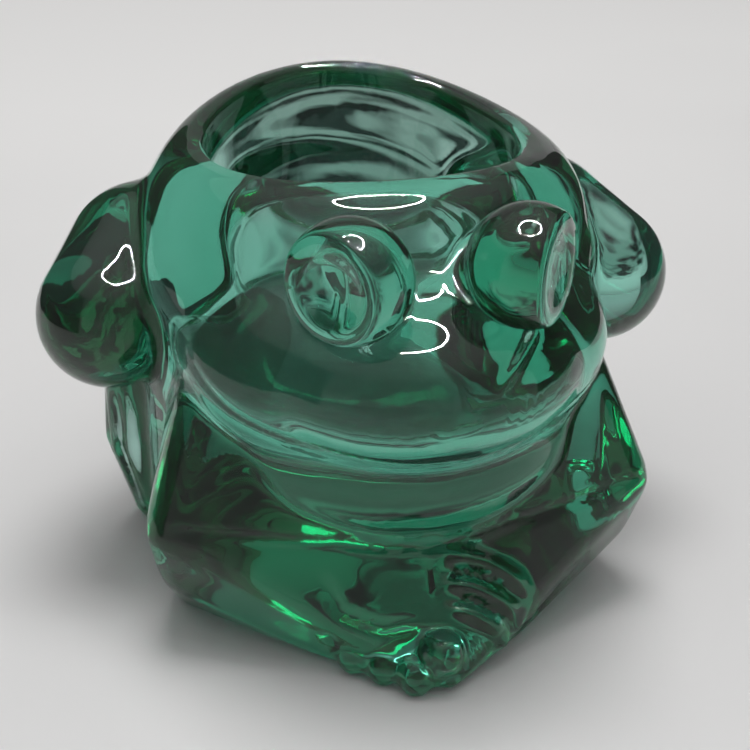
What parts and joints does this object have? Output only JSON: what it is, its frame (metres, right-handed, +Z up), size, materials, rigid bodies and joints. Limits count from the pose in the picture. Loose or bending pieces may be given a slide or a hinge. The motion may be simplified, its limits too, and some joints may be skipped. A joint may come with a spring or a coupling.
{
  "type": "flower frog",
  "caption": "Pressed-glass frog figure, solid but for a round open well in its back that takes a small posy or a votive candle.",
  "frame": {"origin": "on the flat underside, straight below the middle of the well", "axes": "+Z up along the well, the frog looks along -Y, +X runs to the frog's own left, across the knees"},
  "size_m": [0.111, 0.105, 0.0768],
  "materials": {
    "green_glass": "fire-polished"
  },
  "bodies": {
    "root": {"glass_frog": "green_glass"}
  },
  "joints": []
}
